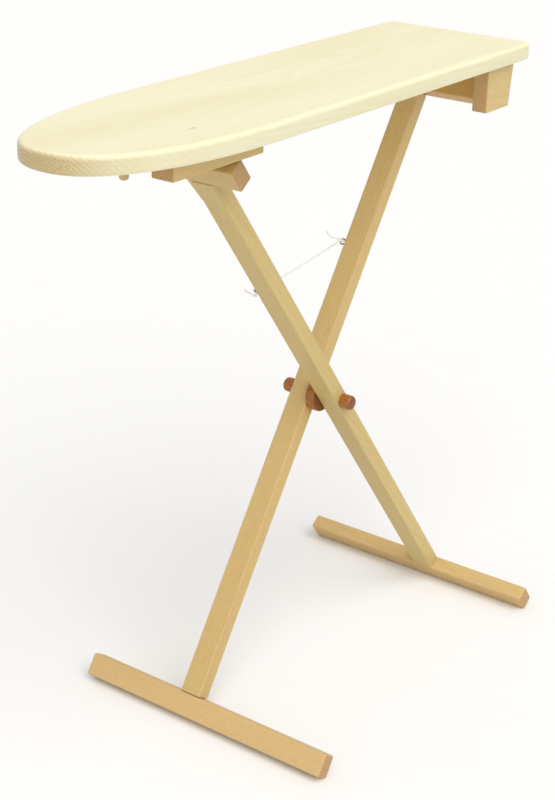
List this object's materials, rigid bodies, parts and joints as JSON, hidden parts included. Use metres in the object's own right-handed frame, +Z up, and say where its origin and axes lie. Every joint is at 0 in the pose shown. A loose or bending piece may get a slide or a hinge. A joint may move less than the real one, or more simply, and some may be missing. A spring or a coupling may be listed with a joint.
{
  "type": "ironing board",
  "caption": "Small folding ironing board of solid wood: a flat top with a rounded nose on two crossed legs with foot bars, joined by a thick dowel and held by a cord.",
  "frame": {"origin": "on the floor, below the middle of the board's length, on the board's centre plane", "axes": "+X towards the board's square end, -X towards its nose; +Y towards leg A, the far leg; +Z up"},
  "size_m": [0.675, 0.316, 0.6784],
  "materials": {
    "board_wood": "pale solid wood, planed and sanded, oiled",
    "leg_wood": "honey-coloured solid wood, planed, waxed",
    "dowel_wood": "red-brown turned hardwood dowel",
    "steel": "plain steel wire and screws, dulled",
    "cotton_cord": "twisted white cotton cord"
  },
  "bodies": {
    "hinge_pins": {"hinge_pin_near": "dowel_wood", "hinge_pin_far": "dowel_wood"},
    "board": {"board_top": "board_wood", "nose_cleat_near": "leg_wood", "nose_cleat_far": "leg_wood", "cleat_screw_near_front": "steel", "cleat_screw_near_rear": "steel", "cleat_screw_far_front": "steel", "cleat_screw_far_rear": "steel", "storage_peg": "leg_wood", "hinge_block_near": "leg_wood", "hinge_block_far": "leg_wood", "block_dowel_near_front": "dowel_wood", "block_dowel_near_rear": "dowel_wood", "block_dowel_far_front": "dowel_wood", "block_dowel_far_rear": "dowel_wood"},
    "leg_a": {"leg_a": "leg_wood", "leg_a_crossbar": "leg_wood", "leg_a_foot": "leg_wood", "leg_a_top_dowel_near": "dowel_wood", "leg_a_top_dowel_far": "dowel_wood", "leg_a_foot_dowel_near": "dowel_wood", "leg_a_foot_dowel_far": "dowel_wood", "cord_eye_a": "steel", "cord_knot_a": "cotton_cord", "cord_tail_a": "cotton_cord", "spread_cord": "cotton_cord"},
    "leg_b": {"leg_b": "leg_wood", "leg_b_crossbar": "leg_wood", "leg_b_foot": "leg_wood", "leg_b_top_dowel_near": "dowel_wood", "leg_b_top_dowel_far": "dowel_wood", "leg_b_foot_dowel_near": "dowel_wood", "leg_b_foot_dowel_far": "dowel_wood", "pivot_dowel": "dowel_wood", "pivot_spacer": "leg_wood", "pivot_cap_near": "dowel_wood", "pivot_cap_far": "dowel_wood", "brace_block": "leg_wood", "brace_screw_lower": "steel", "brace_screw_upper": "steel", "cord_eye_b": "steel", "cord_knot_b": "cotton_cord", "cord_tail_b": "cotton_cord"}
  },
  "joints": [
    {"name": "leg_cross", "type": "hinge", "parent": "leg_a", "child": "leg_b", "pos_m": [0.08598, 0, 0.32048], "axis": [0, 1, 0], "range_deg": [0, 66], "deforming": ["spread_cord"]},
    {"name": "leg_a_swing", "type": "hinge", "parent": "hinge_pins", "child": "leg_a", "pos_m": [0.2872, 0, 0.6274], "axis": [0, 1, 0], "range_deg": [-36.5, 0]},
    {"name": "board_lift", "type": "hinge", "parent": "hinge_pins", "child": "board", "pos_m": [0.2872, 0, 0.6274], "axis": [0, 1, 0], "range_deg": [0, 100]}
  ],
  "couplings": [
    {"joint": "leg_a_swing", "follows": "leg_cross", "ratio": -0.55}
  ]
}
